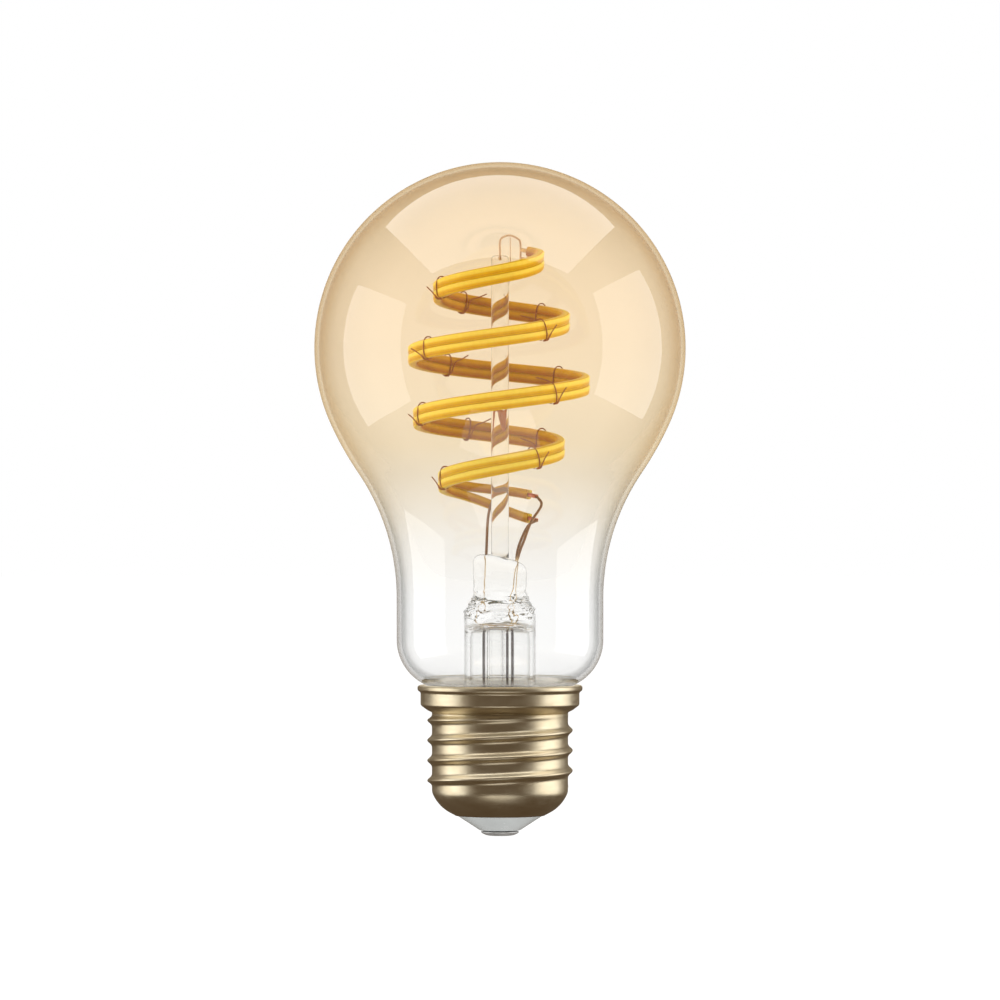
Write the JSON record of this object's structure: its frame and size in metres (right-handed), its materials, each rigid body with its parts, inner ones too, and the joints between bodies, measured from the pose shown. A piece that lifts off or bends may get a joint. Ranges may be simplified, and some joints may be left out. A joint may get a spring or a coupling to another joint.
{
  "type": "smart light bulb",
  "caption": "Smart filament light bulb: amber glass A-shape envelope, coiled flexible filaments on a glass stem, driver inside an E27 screw cap.",
  "frame": {"origin": "centre of the flat underside of the cap's centre contact, on the bulb's axis", "axes": "+Z along the bulb's axis from the cap towards the crown of the glass; -Y faces the viewer who sees the filament ends at the right-hand back"},
  "size_m": [0.0664, 0.0668, 0.1212],
  "materials": {
    "amber_glass": "clear amber-tinted glass, fading to colourless at the neck",
    "stem_glass": "clear colourless glass",
    "cap_brass": "satin antique brass",
    "contact_plate": "dull plated metal",
    "insulator": "pale grey, smooth",
    "cement": "matt",
    "filament_silicone": "yellow phosphor silicone, satin",
    "terminal_copper": "copper plated, satin",
    "lead_wire": "brown plated wire",
    "tie_wire": "dark copper wire",
    "sleeve_plastic": "translucent white",
    "board_laminate": "green solder mask",
    "capacitor_sleeve": "dark heat-shrunk sleeve",
    "ferrite": "matt dark grey",
    "winding_copper": "enamelled copper",
    "shield_can": "tin plated",
    "chip_plastic": "moulded black",
    "film_capacitor_case": "yellow moulded case",
    "resistor_coating": "grey-green cement coat",
    "tinned_wire": "tinned copper wire"
  },
  "bodies": {
    "root": {"glass_envelope": "amber_glass", "cap_shell": "cap_brass", "centre_contact": "contact_plate", "cap_insulator": "insulator", "basing_cement": "cement", "stem_flare": "stem_glass", "exhaust_tube": "stem_glass", "support_rod": "stem_glass", "warm_filament": "filament_silicone", "cool_filament": "filament_silicone", "warm_terminal_lower": "terminal_copper", "warm_terminal_upper": "terminal_copper", "cool_terminal_lower": "terminal_copper", "cool_terminal_upper": "terminal_copper", "top_hook": "lead_wire", "common_lead": "lead_wire", "warm_lead": "lead_wire", "cool_lead": "lead_wire", "insulating_sleeve": "sleeve_plastic", "driver_board": "board_laminate", "radio_board": "board_laminate", "electrolytic_capacitor": "capacitor_sleeve", "inductor_core": "ferrite", "inductor_winding": "winding_copper", "radio_shield": "shield_can", "led_controller": "chip_plastic", "warm_switch": "chip_plastic", "cool_switch": "chip_plastic", "bridge_rectifier": "chip_plastic", "film_capacitor": "film_capacitor_case", "fusible_resistor": "resistor_coating", "resistor_lead": "tinned_wire", "contact_lead": "tinned_wire", "shell_lead": "tinned_wire", "filament_tie_01": "tie_wire", "filament_tie_02": "tie_wire", "filament_tie_03": "tie_wire", "filament_tie_04": "tie_wire", "filament_tie_05": "tie_wire", "filament_tie_06": "tie_wire", "filament_tie_07": "tie_wire", "filament_tie_08": "tie_wire", "filament_tie_09": "tie_wire", "filament_tie_10": "tie_wire", "filament_tie_11": "tie_wire", "filament_tie_12": "tie_wire", "filament_tie_13": "tie_wire"}
  },
  "joints": []
}
